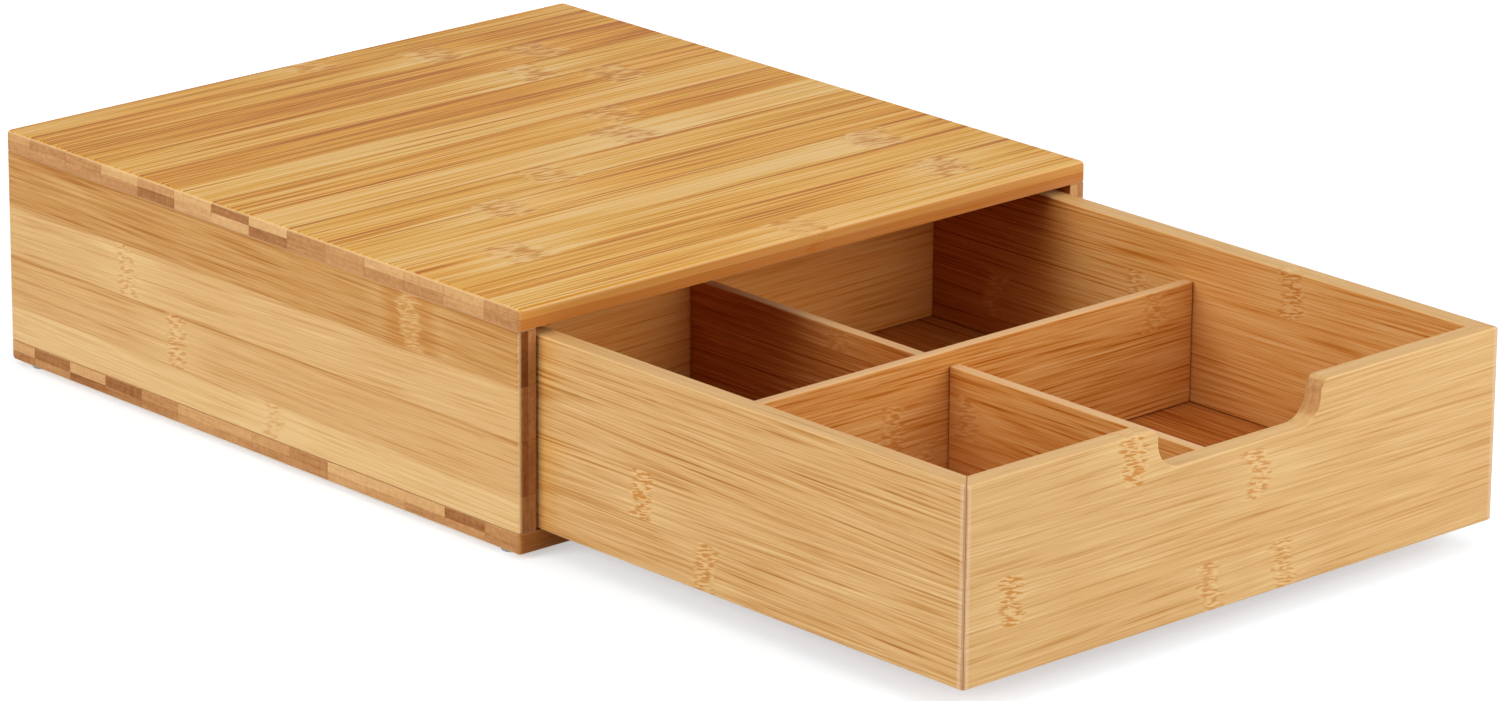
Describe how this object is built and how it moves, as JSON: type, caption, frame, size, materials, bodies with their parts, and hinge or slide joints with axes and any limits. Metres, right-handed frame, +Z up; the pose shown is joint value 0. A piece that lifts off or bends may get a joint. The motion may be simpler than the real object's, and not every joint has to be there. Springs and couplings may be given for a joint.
{
  "type": "drawer storage box",
  "caption": "Flat bamboo box: an open-fronted case on rubber feet and a pull-out drawer with fixed dividers and a finger scoop in its front.",
  "frame": {"origin": "on the ground, under the middle of the whole box with its drawer pulled out as stored", "axes": "+Z up, the case's mouth and the drawer's front face -Y, +X to the right of someone facing them"},
  "size_m": [0.3, 0.551, 0.1],
  "materials": {
    "bamboo_panel": "satin clear varnish over strips of flat-pressed bamboo",
    "bamboo_upright": "satin clear varnish over bamboo strips",
    "bamboo_drawer_wall": "satin clear varnish over fine-grained bamboo",
    "bamboo_drawer_floor": "satin clear varnish over bamboo strips",
    "bamboo_divider": "satin clear varnish over fine-grained bamboo",
    "dowel_wood": "bare turned wood",
    "clear_rubber": "clear soft bumper with a slight shine"
  },
  "bodies": {
    "case": {"case_top_panel": "bamboo_panel", "case_bottom_panel": "bamboo_panel", "case_left_side": "bamboo_upright", "case_right_side": "bamboo_upright", "case_back_panel": "bamboo_upright", "rubber_foot_front_left": "clear_rubber", "rubber_foot_front_right": "clear_rubber", "rubber_foot_rear_left": "clear_rubber", "rubber_foot_rear_right": "clear_rubber", "dowel_lower_left_front": "dowel_wood", "dowel_lower_left_middle": "dowel_wood", "dowel_lower_left_rear": "dowel_wood", "dowel_lower_right_front": "dowel_wood", "dowel_lower_right_middle": "dowel_wood", "dowel_lower_right_rear": "dowel_wood", "dowel_lower_back_left": "dowel_wood", "dowel_lower_back_right": "dowel_wood", "dowel_upper_left_front": "dowel_wood", "dowel_upper_left_middle": "dowel_wood", "dowel_upper_left_rear": "dowel_wood", "dowel_upper_right_front": "dowel_wood", "dowel_upper_right_middle": "dowel_wood", "dowel_upper_right_rear": "dowel_wood", "dowel_upper_back_left": "dowel_wood", "dowel_upper_back_right": "dowel_wood"},
    "drawer": {"drawer_front": "bamboo_drawer_wall", "drawer_back": "bamboo_drawer_wall", "drawer_left_side": "bamboo_drawer_wall", "drawer_right_side": "bamboo_drawer_wall", "drawer_floor": "bamboo_drawer_floor", "cross_divider": "bamboo_divider", "front_divider": "bamboo_divider", "rear_divider": "bamboo_divider"}
  },
  "joints": [
    {"name": "drawer_slide", "type": "slide", "parent": "case", "child": "drawer", "axis": [0, -1, 0], "range_m": [-0.234, 0.017]}
  ]
}
